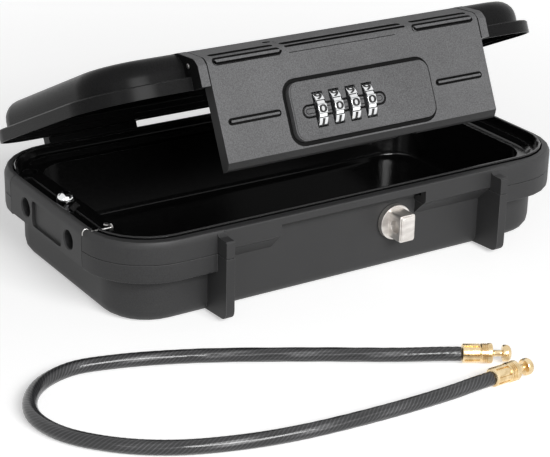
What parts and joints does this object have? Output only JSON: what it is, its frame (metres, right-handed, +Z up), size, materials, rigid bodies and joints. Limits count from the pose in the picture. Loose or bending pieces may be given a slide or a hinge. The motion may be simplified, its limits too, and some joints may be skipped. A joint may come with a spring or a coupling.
{
  "type": "portable safe",
  "caption": "Hinged plastic portable safe with a drop-down lock flap of number dials, a lock stud, cable ports with a retainer slide, and a loose security cable.",
  "frame": {"origin": "middle of the flat underside of the lower case", "axes": "+X along the length, to the right seen from the front; the lock front faces -Y; +Z up"},
  "size_m": [0.2984, 0.2523, 0.1078],
  "materials": {
    "textured_black": "spark-textured ABS",
    "satin_black": "satin",
    "flap_black": "fine texture",
    "gloss_black": "glossy",
    "steel": "brushed",
    "chrome": "polished",
    "zinc": "plated",
    "brass": "turned",
    "cable_vinyl": "glossy vinyl"
  },
  "bodies": {
    "base": {"base_shell": "textured_black", "rim_frame": "textured_black", "cable_port_block": "textured_black", "liner_tray": "gloss_black", "headed_pin": "chrome", "channel_rivet": "chrome", "lock_stud": "steel", "stud_ring": "steel", "hinge_pin_1": "steel", "hinge_pin_2": "steel"},
    "lid": {"lid_shell": "satin_black", "lid_liner": "gloss_black", "flap_pin_1": "steel", "flap_pin_2": "steel"},
    "flap": {"flap_plate": "flap_black", "lock_faceplate": "flap_black", "lock_housing": "textured_black", "lock_cover": "zinc", "cover_screw_1": "steel", "cover_screw_2": "steel", "cover_screw_3": "steel", "cover_screw_4": "steel", "dial_shaft": "steel", "detent_spring": "steel"},
    "latch": {"latch_bolt": "steel"},
    "retainer": {"cable_retainer": "zinc", "retainer_knob": "chrome"},
    "cable_set": {"cable": "cable_vinyl", "cable_first_ferrule": "brass", "cable_first_head": "brass", "cable_second_ferrule": "brass", "cable_second_head": "brass"},
    "dial_1": {"dial_wheel_1": "chrome", "number_cam_1": "zinc"},
    "dial_2": {"dial_wheel_2": "chrome", "number_cam_2": "zinc"},
    "dial_3": {"dial_wheel_3": "chrome", "number_cam_3": "zinc"},
    "dial_4": {"dial_wheel_4": "chrome", "number_cam_4": "zinc"}
  },
  "joints": [
    {"name": "lid_hinge", "type": "hinge", "parent": "base", "child": "lid", "pos_m": [0, 0.0671, 0.0245], "axis": [-1, 0, 0], "range_deg": [-25.14, 70]},
    {"name": "flap_hinge", "type": "hinge", "parent": "lid", "child": "flap", "pos_m": [0, -0.04058, 0.10364], "axis": [-1, 0, 0], "range_deg": [0, 30]},
    {"name": "latch_slide", "type": "slide", "parent": "flap", "child": "latch", "axis": [1, 0, 0], "range_m": [0, 0.0024]},
    {"name": "retainer_slide", "type": "slide", "parent": "base", "child": "retainer", "axis": [0, 1, 0], "range_m": [-0.005, 0.005]},
    {"name": "dial_1_spin", "type": "hinge", "parent": "flap", "child": "dial_1", "pos_m": [-0.0226, -0.05561, 0.08032], "axis": [1, 0, 0], "continuous": true},
    {"name": "dial_2_spin", "type": "hinge", "parent": "flap", "child": "dial_2", "pos_m": [-0.01432, -0.05561, 0.08032], "axis": [1, 0, 0], "continuous": true},
    {"name": "dial_3_spin", "type": "hinge", "parent": "flap", "child": "dial_3", "pos_m": [-0.00604, -0.05561, 0.08032], "axis": [1, 0, 0], "continuous": true},
    {"name": "dial_4_spin", "type": "hinge", "parent": "flap", "child": "dial_4", "pos_m": [0.00224, -0.05561, 0.08032], "axis": [1, 0, 0], "continuous": true},
    {"name": "cable_lift", "type": "slide", "parent": "base", "child": "cable_set", "axis": [0, 0, 1], "range_m": [0, 0.06]}
  ]
}
